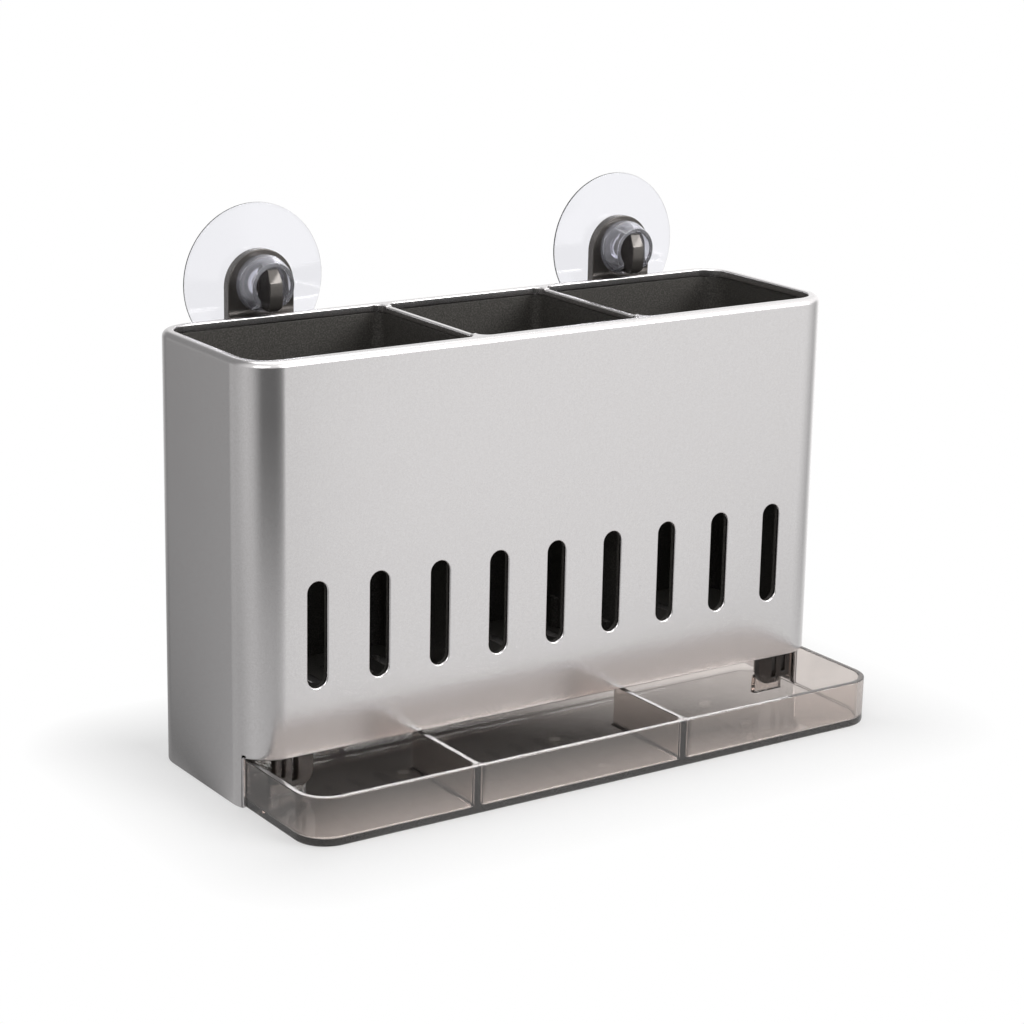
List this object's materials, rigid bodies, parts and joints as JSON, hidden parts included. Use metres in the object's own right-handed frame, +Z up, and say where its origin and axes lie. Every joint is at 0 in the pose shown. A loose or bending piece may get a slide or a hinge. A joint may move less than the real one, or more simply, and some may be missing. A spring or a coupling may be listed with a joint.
{
  "type": "suction wall shelf",
  "caption": "Utensil caddy with a silver shell, divided dark liner, front air slots, slide-out smoky drip tray and clear suction cups with turning locks.",
  "frame": {"origin": "under the middle of the whole object's box with the tray pulled out, on the surface it stands on", "axes": "+Z up; +Y towards the wall, square to the suction cups; +X to the right seen from the front"},
  "size_m": [0.25, 0.119, 0.197],
  "materials": {
    "silver_lacquer": "satin silver lacquer over moulded plastic",
    "dark_speckle": "dark grey moulded plastic with a fine metallic speckle",
    "dark_plastic": "dark grey moulded plastic",
    "grey_lacquer": "dark metallic grey lacquer over moulded plastic",
    "clear_vinyl": "clear soft vinyl",
    "clear_hard": "clear hard plastic",
    "smoky_acrylic": "smoky brown translucent plastic, polished",
    "screw_steel": "bright plated steel"
  },
  "bodies": {
    "root": {"outer_shell": "silver_lacquer", "inner_liner": "dark_speckle", "drain_floor": "dark_speckle", "floor_screws": "screw_steel", "rail_left": "dark_plastic", "rail_right": "dark_plastic", "rail_screws": "screw_steel", "tray_stop_left": "dark_plastic", "tray_stop_right": "dark_plastic", "stop_screws": "screw_steel", "hanger_tab_left": "grey_lacquer", "hanger_tab_right": "grey_lacquer", "tab_screws": "screw_steel", "suction_cup_left": "clear_vinyl", "suction_cup_right": "clear_vinyl"},
    "tray": {"drip_tray": "smoky_acrylic"},
    "lock_left": {"lock_collar_left": "clear_hard", "lock_lever_left": "grey_lacquer"},
    "lock_right": {"lock_collar_right": "clear_hard", "lock_lever_right": "grey_lacquer"}
  },
  "joints": [
    {"name": "tray_slide", "type": "slide", "parent": "root", "child": "tray", "axis": [0, 1, 0], "range_m": [0, 0.0381]},
    {"name": "lock_left_turn", "type": "hinge", "parent": "root", "child": "lock_left", "pos_m": [-0.0794, 0.05055, 0.169], "axis": [0, -1, 0], "range_deg": [0, 90]},
    {"name": "lock_right_turn", "type": "hinge", "parent": "root", "child": "lock_right", "pos_m": [0.0794, 0.05055, 0.169], "axis": [0, -1, 0], "range_deg": [0, 90]}
  ]
}
